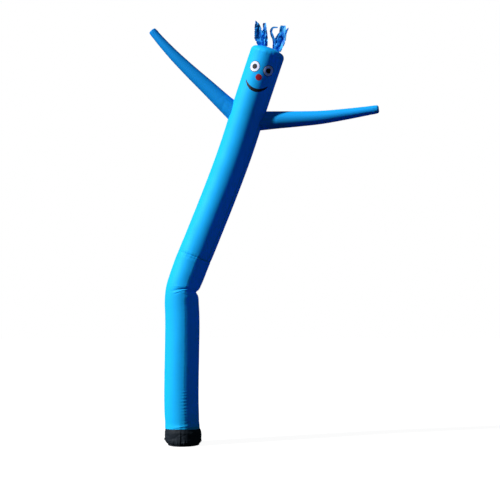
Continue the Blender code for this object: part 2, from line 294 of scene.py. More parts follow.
@dataclass(frozen=True)
class NylonFinish:
    """Thin ripstop nylon that light shines through, doubled and darker at its seams."""

    name: str
    colour: Colour = (0.006, 0.345, 0.700)
    seam_colour: Colour = (0.004, 0.220, 0.520)
    glow: Colour = (0.006, 0.165, 0.930)
    translucency: float = 0.25
    roughness: float = 0.56
    gloss: float = 0.04
    girth: float = 0.0
    seam_half: float = 0.010
    rings: tuple[float, ...] = ()
    ring_weight: float = 0.45
    crush: float = 0.25
    relief: float = 1.0
    relief_height: float = 0.0006
    seam_share: float = 0.45
    ripstop_share: float = 0.16
    cloud_share: float = 0.14

    def seam_mask(self, shader: Shader, across: Wire, along: Wire) -> Wire:
        """Where the cloth lies double: the side seam at across 0, and the cross seams."""
        edge = self.girth / 2 + self.seam_half / 2
        mask = abs(across - edge).ramp(edge - self.seam_half * 1.15, edge - self.seam_half)
        for ring in self.rings:
            near = abs(along - ring).ramp(self.seam_half * 1.15, self.seam_half * 0.4)
            mask = mask.largest(near * self.ring_weight)
        return mask

    def build(self) -> bpy.types.Material:
        """Wires the material and returns it."""
        shader = Shader(self.name)
        place, across, along = shader.cloth_place()
        seam = self.seam_mask(shader, across, along)
        ripstop = ripstop_lines(across, along)
        threads = shader.noise(place, 900.0, 1.0, (1.0, 0.12, 1.0))
        threads = threads + shader.noise(place, 900.0, 1.0, (0.12, 1.0, 1.0))
        clouds = shader.noise(place, 5.0, 3.0)
        crush = shader.noise(place, 38.0, 3.0)
        colour = self.colour
        for share in (seam * self.seam_share, ripstop * self.ripstop_share,
                      clouds.ramp(0.35, 0.75) * self.cloud_share):
            colour = shader.blend(share, colour, self.seam_colour)
        height = ripstop * 0.08 + threads * 0.02 + crush * self.crush
        roughness = self.roughness + (clouds - 0.5) * 0.16 + ripstop * 0.05
        return shader.finish({
            "Base Color": colour,
            "Roughness": roughness,
            "Metallic": self.gloss,
            "Specular IOR Level": 0.06,
            "Normal": shader.bump(height, self.relief_height * self.relief),
        }, self.glow, self.translucency - seam * (self.translucency * 0.25))


@dataclass(frozen=True)
class RibbonFinish:
    """Thin crushed nylon of the hair that light shines through; its paler streaks are painted
    light, standing for lit facets.
    """

    name: str = "hair_ribbon_nylon_painted_light"
    colour: Colour = (0.004, 0.120, 0.560)
    # pale: painted highlight colour for the lit facets of the crushed ribbons.
    pale: Colour = (0.060, 0.560, 0.950)
    glow: Colour = (0.020, 0.330, 1.000)
    translucency: float = 0.48
    roughness: float = 0.42

    def build(self) -> bpy.types.Material:
        """Wires the material and returns it."""
        shader = Shader(self.name)
        crush = shader.noise(shader.cloth_place()[0], 42.0, 1.5, (1.0, 0.22, 1.0))
        return shader.finish({
            # Painted light: streaks of the pale colour where the crush noise is high, standing for
            # lit facets.
            "Base Color": shader.blend(crush.ramp(0.40, 0.62) * 0.8, self.colour, self.pale),
            "Roughness": self.roughness + crush * 0.1,
            "Specular IOR Level": 0.12,
            "Normal": shader.bump(crush, 0.0014),
        }, self.glow, self.translucency)


@dataclass(frozen=True)
class CuffFinish:
    """Black coated nylon, crumpled, its folds rubbed a little paler."""

    name: str = "black_coated_nylon"
    colour: Colour = (0.0068, 0.0098, 0.0140)
    rubbed: Colour = (0.0150, 0.0205, 0.0275)
    roughness: float = 0.50
    weave: float = 0.0011

    def build(self) -> bpy.types.Material:
        """Wires the material and returns it."""
        shader = Shader(self.name)
        place, across, along = shader.cloth_place()
        weave = grid_lines(across, self.weave, 0.3) + grid_lines(along, self.weave, 0.3)
        crumple = shader.noise(place, 26.0, 5.0)
        fine = shader.noise(place, 110.0, 3.0)
        rubbed = crumple.ramp(0.54, 0.70) * 0.6 + fine.ramp(0.55, 0.75) * 0.25
        height = crumple * 1.2 + fine * 0.30 + weave * 0.02
        return shader.finish({
            "Base Color": shader.blend(rubbed, self.colour, self.rubbed),
            "Roughness": self.roughness + crumple * 0.2,
            "Specular IOR Level": 0.06,
            "Normal": shader.bump(height, 0.0016),
        })


@dataclass(frozen=True)
class InkFinish:
    """Screen ink on the cloth, with the weave showing through it."""

    name: str
    colour: Colour
    glow: Colour
    roughness: float = 0.48
    translucency: float = 0.42

    def build(self) -> bpy.types.Material:
        """Wires the material and returns it."""
        shader = Shader(self.name)
        place, across, along = shader.cloth_place()
        ripstop = ripstop_lines(across, along)
        wear = shader.noise(place, 60.0, 4.0)
        faded = tuple(channel * 0.82 + 0.004 for channel in self.colour)
        return shader.finish({
            "Base Color": shader.blend(wear.ramp(0.4, 0.7) * 0.5, self.colour, faded),
            "Roughness": self.roughness + wear * 0.12,
            "Specular IOR Level": 0.3,
            "Normal": shader.bump(ripstop * 0.1 + wear * 0.5, 0.0004),
        }, self.glow, self.translucency)


@dataclass(frozen=True)
class ThreadFinish:
    """Twisted sewing thread."""

    name: str = "blue_thread"
    colour: Colour = (0.005, 0.300, 0.640)

    def build(self) -> bpy.types.Material:
        """Wires the material and returns it."""
        shader = Shader(self.name)
        place = shader.node("ShaderNodeNewGeometry")["Position"]
        twist = shader.noise(place, 1400.0, 1.0)
        dull = tuple(channel * 0.6 for channel in self.colour)
        return shader.finish({
            "Base Color": shader.blend(twist.ramp(0.35, 0.65), self.colour, dull),
            "Roughness": 0.55 + twist * 0.1,
            "Specular IOR Level": 0.06,
            "Normal": shader.bump(twist, 0.0001),
        })


@dataclass(frozen=True)
class FloorFinish:
    """Plain pale studio floor."""

    name: str = "pale_floor"
    colour: Colour = (0.07, 0.07, 0.07)
    paleness: float = 0.96

    def build(self) -> bpy.types.Material:
        """Wires the material and returns it."""
        shader = Shader(self.name)
        place = shader.node("ShaderNodeNewGeometry")["Position"]
        grain = shader.noise(place, 3.0, 2.0)
        paler = tuple(channel * 1.1 for channel in self.colour)
        return shader.finish({
            "Base Color": shader.blend(grain, self.colour, paler),
            "Roughness": 1.0,
            "Specular IOR Level": 0.0,
            "Emission Color": (1.0, 1.0, 1.0, 1.0),
            "Emission Strength": self.paleness,
        })


# Shapes


class Spine:
    """A smooth line through stations, read by the distance along it."""

    def __init__(self, stations: Sequence[Any]) -> None:
        """Works out the distances and slopes at the stations."""
        self.knots = np.array(stations, float)
        steps = np.linalg.norm(np.diff(self.knots, axis=0), axis=1)
        self.marks = np.concatenate([[0.0], np.cumsum(steps)])
        self.slopes = np.gradient(self.knots, self.marks, axis=0)
        self.length = float(self.marks[-1])

    def at(self, along: np.ndarray) -> tuple[np.ndarray, np.ndarray]:
        """Points and unit directions. Past either end the line runs on straight.

        Args:
            along: Distances from the line's start, in any shape.

        Returns:
            The points and the directions, each with a last axis of three.
        """
        inside = np.clip(along, 0.0, self.length)
        span = np.clip(np.searchsorted(self.marks, inside) - 1, 0, len(self.marks) - 2)
        size = (self.marks[span + 1] - self.marks[span])[..., None]
        t = (inside - self.marks[span])[..., None] / size
        start, end = self.knots[span], self.knots[span + 1]
        leave, arrive = self.slopes[span] * size, self.slopes[span + 1] * size
        point = (
            start * (2 * t**3 - 3 * t**2 + 1)
            + leave * (t**3 - 2 * t**2 + t)
            + end * (3 * t**2 - 2 * t**3)
            + arrive * (t**3 - t**2)
        )
        slope = (
            (start - end) * (6 * t**2 - 6 * t)
            + leave * (3 * t**2 - 4 * t + 1)
            + arrive * (3 * t**2 - 2 * t)
        )
        heading = slope / np.linalg.norm(slope, axis=-1, keepdims=True)
        return point + heading * (along - inside)[..., None], heading

    def around(self, along: np.ndarray, lead: Point) -> tuple[np.ndarray, np.ndarray, np.ndarray]:
        """Points, and the two directions across the line, the first squared from the lead."""
        point, heading = self.at(along)
        side = np.array(lead) - heading * (heading @ np.array(lead))[..., None]
        side /= np.linalg.norm(side, axis=-1, keepdims=True)
        return point, side, np.cross(heading, side)

    def ring(self, angle: np.ndarray, along: np.ndarray, lead: Point,
             reach: np.ndarray) -> np.ndarray:
        """Points at a reach from the line, at angles round it from the lead."""
        point, side, next_side = self.around(along, lead)
        outward = side * np.cos(angle)[..., None] + next_side * np.sin(angle)[..., None]
        return point + outward * reach[..., None]

    def distance(self, points: np.ndarray) -> np.ndarray:
        """Distance from each point to the line, from its nearest sample."""
        samples = self.at(np.linspace(0.0, self.length, 900))[0]
        return np.linalg.norm(points[..., None, :] - samples, axis=-1).min(axis=-1)


def turn_between(angle: np.ndarray, centre: np.ndarray | float) -> np.ndarray:
    """Signed angle from a centre in degrees to angles in radians, the short way round."""
    return (angle - np.radians(centre) + math.pi) % math.tau - math.pi


def folds_depth(folds: Sequence[Fold], angle: np.ndarray, along: np.ndarray) -> np.ndarray:
    """How far the folds pull the cloth inwards."""
    depth = np.zeros(np.broadcast(angle, along).shape)
    for fold in folds:
        turn = turn_between(angle, fold.angle)
        reach = np.minimum(abs(turn) / math.radians(fold.spread), 1.0)
        offset = (along - fold.along - fold.tilt * turn) / fold.width
        depth = depth + fold.depth * np.cos(reach * math.pi / 2) ** 2 * np.exp(-abs(offset) ** 1.5)
    return depth


def ripple(place: np.ndarray, pitch: float, seed: int) -> np.ndarray:
    """Uneven ripples along a seam.

    Args:
        place: Distance along the seam.
        pitch: Usual distance from ripple to ripple.
        seed: Seed of the unevenness.

    Returns:
        Values from about -1 to 1, sharper in the troughs.
    """
    random = np.random.default_rng(seed)
    value = np.zeros_like(place)
    for share in (1.0, 1.37, 0.61, 2.3):
        phase = random.uniform(0, math.tau)
        drift = 0.6 * np.sin(place * random.uniform(2, 6) + random.uniform(0, math.tau))
        value = value + np.sin(place * math.tau * share / pitch + phase + drift) / (1 + share)
    return value - 0.5 * abs(value)


def along_seam(puckers: Puckers, distance: np.ndarray, place: np.ndarray) -> np.ndarray:
    """Inward depth of the puckers beside a seam.

    Args:
        puckers: Their sizes.
        distance: Distance from the seam.
        place: Distance along the seam.

    Returns:
        The depth.
    """
    fade = np.exp(-abs(distance / puckers.reach) ** 1.4)
    if puckers.even:
        return puckers.depth * fade * np.sin(place * math.tau / puckers.pitch + np.sin(place * 17))
    return puckers.depth * fade * ripple(place, puckers.pitch, puckers.seed)


def slow_waves(angle: np.ndarray, along: np.ndarray, seed: int, size: float) -> np.ndarray:
    """Slow unevenness of blown cloth, about size deep."""
    random = np.random.default_rng(seed)
    value = np.zeros(np.broadcast(angle, along).shape)
    for turns in (1, 2, 3, 5, 7):
        phase, pace = random.uniform(0, math.tau), random.uniform(1.5, 5.0)
        lean = random.uniform(0, math.tau)
        wave = np.sin(turns * angle + phase) * np.sin(along * pace + lean)
        value = value + wave / (1 + turns / 3)
    return value * size


def mesh_object(name: str, points: np.ndarray, faces: np.ndarray,
                material: bpy.types.Material) -> bpy.types.Object:
    """Makes an object of points and faces, and puts it in the scene."""
    data = bpy.data.meshes.new(name)
    data.from_pydata(points.reshape(-1, 3), [], faces.tolist())
    data.materials.append(material)
    made = bpy.data.objects.new(name, data)
    bpy.context.scene.collection.objects.link(made)
    return made


def cloth_object(name: str, points: np.ndarray, flat: np.ndarray, material: bpy.types.Material,
                 closed: bool = True, missing: np.ndarray | None = None) -> bpy.types.Object:
    """Makes an object of a grid of cloth.

    Args:
        name: The object's name.
        points: Rows and columns of points.
        flat: Place of each point on the flat cloth, with one column more where it is closed.
        material: Its finish.
        closed: Whether the last column joins the first.
        missing: Faces that are cut out, as rows and columns of truth values.

    Returns:
        The object, in the scene.
    """
    rows, columns = points.shape[:2]
    spans = columns if closed else columns - 1
    row, column = np.meshgrid(np.arange(rows - 1), np.arange(spans), indexing="ij")
    if missing is not None:
        row, column = row[~missing], column[~missing]
    row, column = row.ravel(), column.ravel()
    after = (column + 1) % columns
    faces = np.stack([row * columns + column, row * columns + after,
                      (row + 1) * columns + after, (row + 1) * columns + column], axis=1)
    made = mesh_object(name, points, faces, material)
    corners = np.stack([flat[row, column], flat[row, column + 1],
                        flat[row + 1, column + 1], flat[row + 1, column]], axis=1)
    layer = made.data.uv_layers.new(name=CLOTH_MAP)
    layer.data.foreach_set("uv", corners.astype(np.float32).ravel())
    made.data.shade_smooth()
    return made


def mix_places(start: Place, end: Place, share: np.ndarray) -> tuple[np.ndarray, np.ndarray]:
    """Angles and distances along, from one place on a tube to another."""
    return tuple(first + (last - first) * share for first, last in zip(start, end))


def lapped_columns(seam: float, radius: float,
                   sides: int) -> tuple[np.ndarray, np.ndarray, np.ndarray]:
    """Columns of a cloth that is rolled to a tube and sewn with a lapped side seam.

    Args:
        seam: Angle of the seam.
        radius: Radius of the tube.
        sides: Spans round it.

    Returns:
        The angles, how far each column lies out, and its place across the flat cloth.
    """
    overlap = LAP_WIDTH / radius
    turn = np.linspace(-overlap / 2, math.tau + overlap / 2, sides + 1)
    rise = np.clip((turn - math.tau + 2 * overlap) / overlap, 0.0, 1.0)
    lift = LAP_LIFT * rise * rise * (3 - 2 * rise)
    return seam + turn, lift, (turn + overlap / 2) * radius


def even_steps(stops: Sequence[tuple[float, float]]) -> np.ndarray:
    """Values through the stops in turn, no further apart than each stop's own spacing."""
    rows = [stops[0][0]]
    for end, spacing in stops[1:]:
        count = max(math.ceil((end - rows[-1]) / spacing), 1)
        rows.extend(np.linspace(rows[-1], end, count + 1)[1:])
    return np.array(rows)


def flat_places(across: np.ndarray, along: np.ndarray) -> np.ndarray:
    """Places on the flat cloth, from those across it and along it."""
    return np.stack(np.broadcast_arrays(across[None, :], along[:, None]), axis=-1)


def join_rows(*grids: np.ndarray) -> np.ndarray:
    """Grids laid one after another, row by row."""
    return np.concatenate(grids, axis=0)


# Body


@dataclass
class Body:
    """The main tube: its centre line, folds and fine ripples, shared by its pieces."""

    radius: float = 0.2285
    shoulder: float = 5.380
    crown_corner: float = 0.068
    dome_slope: float = math.radians(19)
    foot: float = 0.230
    foot_drop: float = 0.030
    foot_reach: float = 0.110
    cross_seam: float = 2.520
    low_seam: float = -77.0
    high_seam: float = -35.0
    stations: tuple[Point, ...] = (
        (0.000, 0.000, 0.000),
        (0.000, 0.000, 0.100),
        (-0.009, -0.002, 0.268),
        (-0.020, -0.004, 0.532),
        (-0.022, -0.007, 0.850),
        (-0.018, -0.010, 1.170),
        (-0.015, -0.014, 1.726),
        (-0.021, -0.015, 1.886),
        (-0.010, -0.019, 2.060),
        (0.074, -0.027, 2.315),
        (0.237, -0.043, 2.717),
        (0.495, -0.081, 3.360),
        (0.730, -0.150, 3.998),
        (0.897, -0.237, 4.507),
        (1.058, -0.336, 4.981),
        (1.141, -0.392, 5.221),
    )
    folds: tuple[Fold, ...] = (
        Fold(2.040, 0.000, 0, 95, 0.045, 0.034),
        Fold(2.060, 0.000, 0, 80, 0.130, 0.012),
        Fold(2.150, 0.000, 180, 80, 0.120, 0.008),
        Fold(2.062, 0.062, -90, 46, 0.013, 0.009),
        Fold(2.036, 0.020, -84, 30, 0.010, 0.004),
        Fold(2.105, -0.060, -60, 40, 0.045, -0.006),
        Fold(1.985, 0.050, -50, 42, 0.045, -0.005),
        Fold(2.050, 0.030, 88, 44, 0.024, 0.010),
        Fold(2.532, 0.004, 0, 400, 0.020, 0.004),
        Fold(2.460, 0.000, -90, 70, 0.030, -0.002),
        Fold(0.300, 0.000, -120, 400, 0.060, 0.004),
        Fold(0.262, 0.000, -90, 60, 0.010, -0.003),
    )
    creases: tuple[Fold, ...] = (
        Fold(2.054, 0.070, -92, 40, 0.006, 0.0034),
        Fold(2.022, 0.080, -102, 22, 0.006, -0.0034),
        Fold(2.018, -0.070, -84, 22, 0.006, -0.0034),
        Fold(2.004, 0.080, -102, 20, 0.006, 0.0030),
        Fold(2.002, -0.070, -84, 20, 0.006, 0.0030),
        Fold(2.090, 0.030, -104, 24, 0.010, -0.0026),
        Fold(2.040, 0.020, -40, 34, 0.010, 0.005),
        Fold(2.030, -0.030, 40, 34, 0.010, 0.005),
        Fold(2.486, 0.003, -96, 30, 0.007, 0.0016),
        Fold(2.560, 0.000, -95, 45, 0.010, -0.0014),
        Fold(2.526, 0.004, -96, 42, 0.006, 0.0060),
        Fold(2.510, 0.004, -96, 42, 0.007, -0.0034),
        Fold(2.556, 0.006, -100, 34, 0.005, 0.0014),
        Fold(2.582, -0.006, -96, 30, 0.005, 0.0012),
        Fold(0.250, 0.030, -110, 80, 0.006, -0.0030),
    )
    side_puckers: tuple[Puckers, ...] = (
        Puckers(0.0, 0.050, 0.041, 0.0004, 11),
        Puckers(0.0, 0.024, 0.019, 0.0002, 12),
    )
    low_puckers: Puckers = Puckers(0.560, 0.042, 0.040, 0.0012, 13, True)
    low_puckers_length: float = 0.210
    ring_puckers: tuple[Puckers, ...] = (
        Puckers(2.520, 0.036, 0.052, 0.0014, 21),
        Puckers(0.236, 0.060, 0.110, 0.0014, 22),
        Puckers(0.236, 0.022, 0.040, 0.0003, 23),
        Puckers(5.400, 0.050, 0.072, 0.0012, 24),
    )
    waves: float = 0.0011

    def __post_init__(self) -> None:
        """Works out the centre line and the crown."""
        self.spine = Spine(self.stations)
        slope = self.dome_slope
        self.dome_edge = self.radius - self.crown_corner + self.crown_corner * math.sin(slope)
        self.dome_radius = self.dome_edge / math.sin(slope)
        dome_foot = self.shoulder + self.crown_corner * math.cos(slope)
        self.crown_top = dome_foot + self.dome_radius * (1 - math.cos(slope))
        self.girth = math.tau * self.radius

    def fine_depth(self, angle: np.ndarray, along: np.ndarray) -> np.ndarray:
        """Inward depth of the small ripples, puckers and creases."""
        seam = np.where(along < self.cross_seam, self.low_seam, self.high_seam)
        beside = turn_between(angle, seam) * self.radius
        depth = folds_depth(self.creases, angle, along)
        depth = depth + slow_waves(angle, along, 5, self.waves)
        for puckers in self.side_puckers:
            depth = depth + along_seam(puckers, beside, along)
        low = self.low_puckers
        near = np.exp(-abs((along - low.place) / self.low_puckers_length) ** 3)
        depth = depth + near * along_seam(low, beside, along)
        for puckers in self.ring_puckers:
            depth = depth + along_seam(puckers, along - puckers.place, angle * self.radius)
        return depth

    def surface(self, angle: np.ndarray, along: np.ndarray,
                radius: np.ndarray | float | None = None, outset: float = 0.0,
                fine: bool = True) -> np.ndarray:
        """Points of the body's cloth.

        Args:
            angle: Angles round it, from +X towards +Y.
            along: Distances up the centre line.
            radius: Radius there, where it isn't the tube's.
            outset: How far outside the cloth.
            fine: Whether the small ripples are in.

        Returns:
            The points.
        """
        angle, along = np.broadcast_arrays(angle, along)
        size = np.broadcast_to(self.radius if radius is None else radius, angle.shape)
        depth = folds_depth(self.folds, angle, along)
        if fine:
            depth = depth + self.fine_depth(angle, along)
        reach = np.maximum(size - depth * size / self.radius + outset, 0.0)
        return self.spine.ring(angle, along, RIGHTWARD, reach)

    def slant(self, angle: np.ndarray, along: np.ndarray) -> np.ndarray:
        """Distances along, less near the foot, whose edge dips on the side of the lean."""
        near = np.clip(1 - abs(along - self.foot) / self.foot_reach, 0.0, 1.0)
        return along - self.foot_drop * np.maximum(np.cos(angle), 0.0) * near

    def outer(self, angle: np.ndarray, along: np.ndarray, outset: float) -> np.ndarray:
        """Points on or over the cloth of the tube."""
        return self.surface(angle, along, outset=outset)

    def dome_height(self, radius: np.ndarray | float) -> np.ndarray:
        """Height of the crown's dome at a distance from its middle, from 0 at the middle down."""
        return np.sqrt(self.dome_radius**2 - np.square(radius)) - self.dome_radius

    def crown_rows(self, corner_steps: int = 10, dome_steps: int = 16) -> np.ndarray:
        """Rings that round the head off into its crown, as (along, radius)."""
        turn = np.linspace(0, math.pi / 2 - self.dome_slope, corner_steps + 1)
        flat = self.radius - self.crown_corner
        corner = np.stack([self.shoulder + self.crown_corner * np.sin(turn),
                           flat + self.crown_corner * np.cos(turn)], axis=1)
        radius = self.dome_edge * np.linspace(1, 0.012, dome_steps + 1)[1:]
        dome = np.stack([self.crown_top + self.dome_height(radius), radius], axis=1)
        return join_rows(corner, dome)

    def crown_place(self, across: np.ndarray, deep: np.ndarray, lift: np.ndarray) -> np.ndarray:
        """Points over the crown's dome, in the head's own directions."""
        middle, right, back = self.spine.around(np.array(self.crown_top), RIGHTWARD)
        up = np.cross(right, back)
        height = self.dome_height(np.hypot(across, deep)) + lift
        return middle + (right * np.asarray(across)[..., None] + back * np.asarray(deep)[..., None]
                         + up * np.asarray(height)[..., None])


@dataclass
class LowerLength:
    """Lower length of the body, from the cuff through the bend to the cross seam."""

    body: Body
    finish: NylonFinish
    sides: int = 160
    stops: tuple[tuple[float, float], ...] = (
        (0.230, 0.0030), (0.280, 0.0030), (0.400, 0.0085), (0.740, 0.0050), (1.940, 0.0085),
        (2.110, 0.0035), (2.470, 0.0085), (2.516, 0.0025), (2.520, 0.0040), (2.540, 0.0070),
    )
    tuck: float = 0.0016
    hem: float = 0.014
    hem_inset: float = 0.0022

    def build(self) -> bpy.types.Object:
        """Makes the tube, its foot turned in and its top tucked in the upper length."""
        seam = math.radians(self.body.low_seam)
        angle, lift, across = lapped_columns(seam, self.body.radius, self.sides)
        along = even_steps(self.stops)
        inset = np.where(along >= self.body.cross_seam, self.tuck, 0.0)
        radius = self.body.radius - inset[:, None] + lift
        turned = self.body.foot + np.array([self.hem, self.hem * 0.4, -0.001])
        slanted = self.body.slant(angle, turned[:, None])
        hem = self.body.surface(angle, slanted, self.body.radius - self.hem_inset + lift)
        slanted = self.body.slant(angle, along[:, None])
        points = join_rows(hem, self.body.surface(angle, slanted, radius))
        flat = flat_places(across, np.concatenate([turned * 0 + self.body.foot, along]))
        material = self.finish.build()
        return cloth_object("lower_tube_cloth", points, flat, material, closed=False)


@dataclass
class UpperLength:
    """Upper length of the body with the closed head, open where the arms join it."""

    body: Body
    finish: NylonFinish
    sides: int = 160
    spacing: float = 0.0085
    seam_rows: tuple[float, float] = (2.620, 0.0030)
    hole_rim: float = 0.016

    def build(self, arms: Sequence["Sleeve"]) -> bpy.types.Object:
        """Makes the tube and its crown, without the cloth inside the arms' roots.

        Args:
            arms: The sleeves that join it.

        Returns:
            The object.
        """
        seam = math.radians(self.body.high_seam)
        angle, lift, across = lapped_columns(seam, self.body.radius, self.sides)
        stops = ((self.body.cross_seam, 0.0), self.seam_rows, (self.body.shoulder, self.spacing))
        straight = even_steps(stops)[:-1]
        rings = np.stack([straight, np.full_like(straight, self.body.radius)], axis=1)
        rings = join_rows(rings, self.body.crown_rows())
        radius = rings[:, 1:] + lift * rings[:, 1:] / self.body.radius
        points = self.body.surface(angle, rings[:, :1], radius)
        cells = (points[:-1, :-1] + points[:-1, 1:] + points[1:, :-1] + points[1:, 1:]) / 4
        missing = np.zeros(cells.shape[:2], bool)
        for arm in arms:
            missing |= arm.encloses(cells, self.hole_rim)
        flat = flat_places(across, rings[:, 0])
        material = self.finish.build()
        return cloth_object("upper_tube_cloth", points, flat, material, False, missing)


@dataclass
class Cuff:
    """Black band round the mouth, crumpled, its hem gathered in and turned up inside."""

    body: Body
    finish: CuffFinish
    sides: int = 216
    spacing: float = 0.0042
    top: float = 0.256
    tuck: float = 0.0023
    flare: float = 0.009
    hem_draw: float = 0.022
    hem_flat: float = 0.012
    hem_round: float = 0.050
    turn_up: float = 0.040
    folds: tuple[Fold, ...] = (
        Fold(0.075, 0.000, 178, 24, 0.018, -0.013),
        Fold(0.010, 0.000, 184, 75, 0.038, 0.020),
        Fold(0.120, 0.020, 0, 50, 0.070, -0.010),
        Fold(0.105, 0.060, -120, 34, 0.026, 0.006),
        Fold(0.150, -0.070, -150, 30, 0.024, 0.005),
        Fold(0.060, 0.030, -75, 30, 0.022, -0.005),
        Fold(0.110, 0.040, -40, 34, 0.028, 0.005),
        Fold(0.090, -0.050, 60, 44, 0.030, 0.006),
        Fold(0.140, 0.030, 120, 40, 0.030, -0.006),
    )
    joins: tuple[Fold, ...] = (
        Fold(0.110, 0.000, -95, 3.6, 0.130, -0.0048),
        Fold(0.110, 0.000, -90, 3.2, 0.130, 0.0036),
        Fold(0.064, 0.000, -70, 44, 0.006, 0.0034),
        Fold(0.054, 0.006, -130, 50, 0.006, 0.0038),
    )
    hem_puckers: Puckers = Puckers(0.045, 0.034, 0.046, 0.0045, 31)
    top_puckers: Puckers = Puckers(0.200, 0.050, 0.060, 0.0010, 32)
    crumple_count: int = 44
    crumple_depth: float = 0.0050
    hem_calm: float = 0.6
    turn_up_inset: float = 0.0026

    def crumples(self) -> tuple[Fold, ...]:
        """Small sharp folds spread over the band, in seeded places."""
        random = np.random.default_rng(33)
        return tuple(
            Fold(
                along=random.uniform(0.03, 0.185),
                tilt=random.uniform(-0.16, 0.16),
                angle=random.uniform(0, 360),
                spread=random.uniform(10, 26),
                width=random.uniform(0.005, 0.014),
                depth=random.uniform(-1.0, 1.0) * self.crumple_depth,
            )
            for _ in range(self.crumple_count)
        )

    def outline(self, angle: np.ndarray, height: np.ndarray) -> np.ndarray:
        """Points of the band's outer face below the body's foot."""
        level = np.maximum(height, self.hem_flat)
        hem = np.maximum(1 - (level - self.hem_flat) / self.hem_round, 0.0)
        below_top = np.clip((self.body.foot - level) / self.hem_round, 0.0, 1.0)
        free = np.minimum(below_top * 2, 1.0)
        level = self.body.slant(angle, level)
        swell = self.flare * below_top - self.hem_draw * hem**2
        swell = swell - folds_depth(self.folds + self.joins, angle, level) * free
        calm = free * (1 - self.hem_calm * hem)
        swell = swell - folds_depth(self.crumples(), angle, level) * calm
        swell = swell - (self.tuck + folds_depth(self.body.folds, angle, level)) * (1 - below_top)
        for puckers in (self.hem_puckers, self.top_puckers):
            place = angle * self.body.radius
            swell = swell - along_seam(puckers, level - puckers.place, place) * free
        point = self.body.spine.ring(angle, level, RIGHTWARD, self.body.radius + swell)
        point[..., 2] = np.where(height < self.hem_flat, height, point[..., 2])
        return point

    def build(self) -> bpy.types.Object:
        """Makes the band, from its turned-up hem to its top inside the body."""
        angle = math.radians(-90) + np.arange(self.sides)[None, :] * math.tau / self.sides
        height = even_steps(((0.0, 0.0), (self.body.foot - 0.001, self.spacing)))
        outer = self.outline(*np.broadcast_arrays(angle, height[:, None]))
        rows = int(self.turn_up / self.spacing)
        lean = (outer[:rows] - outer[:rows].mean(axis=1, keepdims=True)) * [1, 1, 0]
        lean /= np.linalg.norm(lean, axis=-1, keepdims=True)
        inner = (outer[:rows] - lean * self.turn_up_inset)[::-1]
        inner[-1, :, 2] += 0.0008
        upper = np.linspace(self.body.foot, self.top, 6)
        inset = self.body.radius - self.tuck
        tucked = self.body.slant(angle, upper[:, None])
        tucked = self.body.surface(angle, tucked, inset, fine=False)
        along = np.concatenate([-height[:rows][::-1] - 0.002, height, upper])
        flat = flat_places(np.linspace(0, self.body.girth, self.sides + 1), along)
        points = join_rows(inner, outer, tucked)
        return cloth_object("cuff_cloth", points, flat, self.finish.build())


# Arms


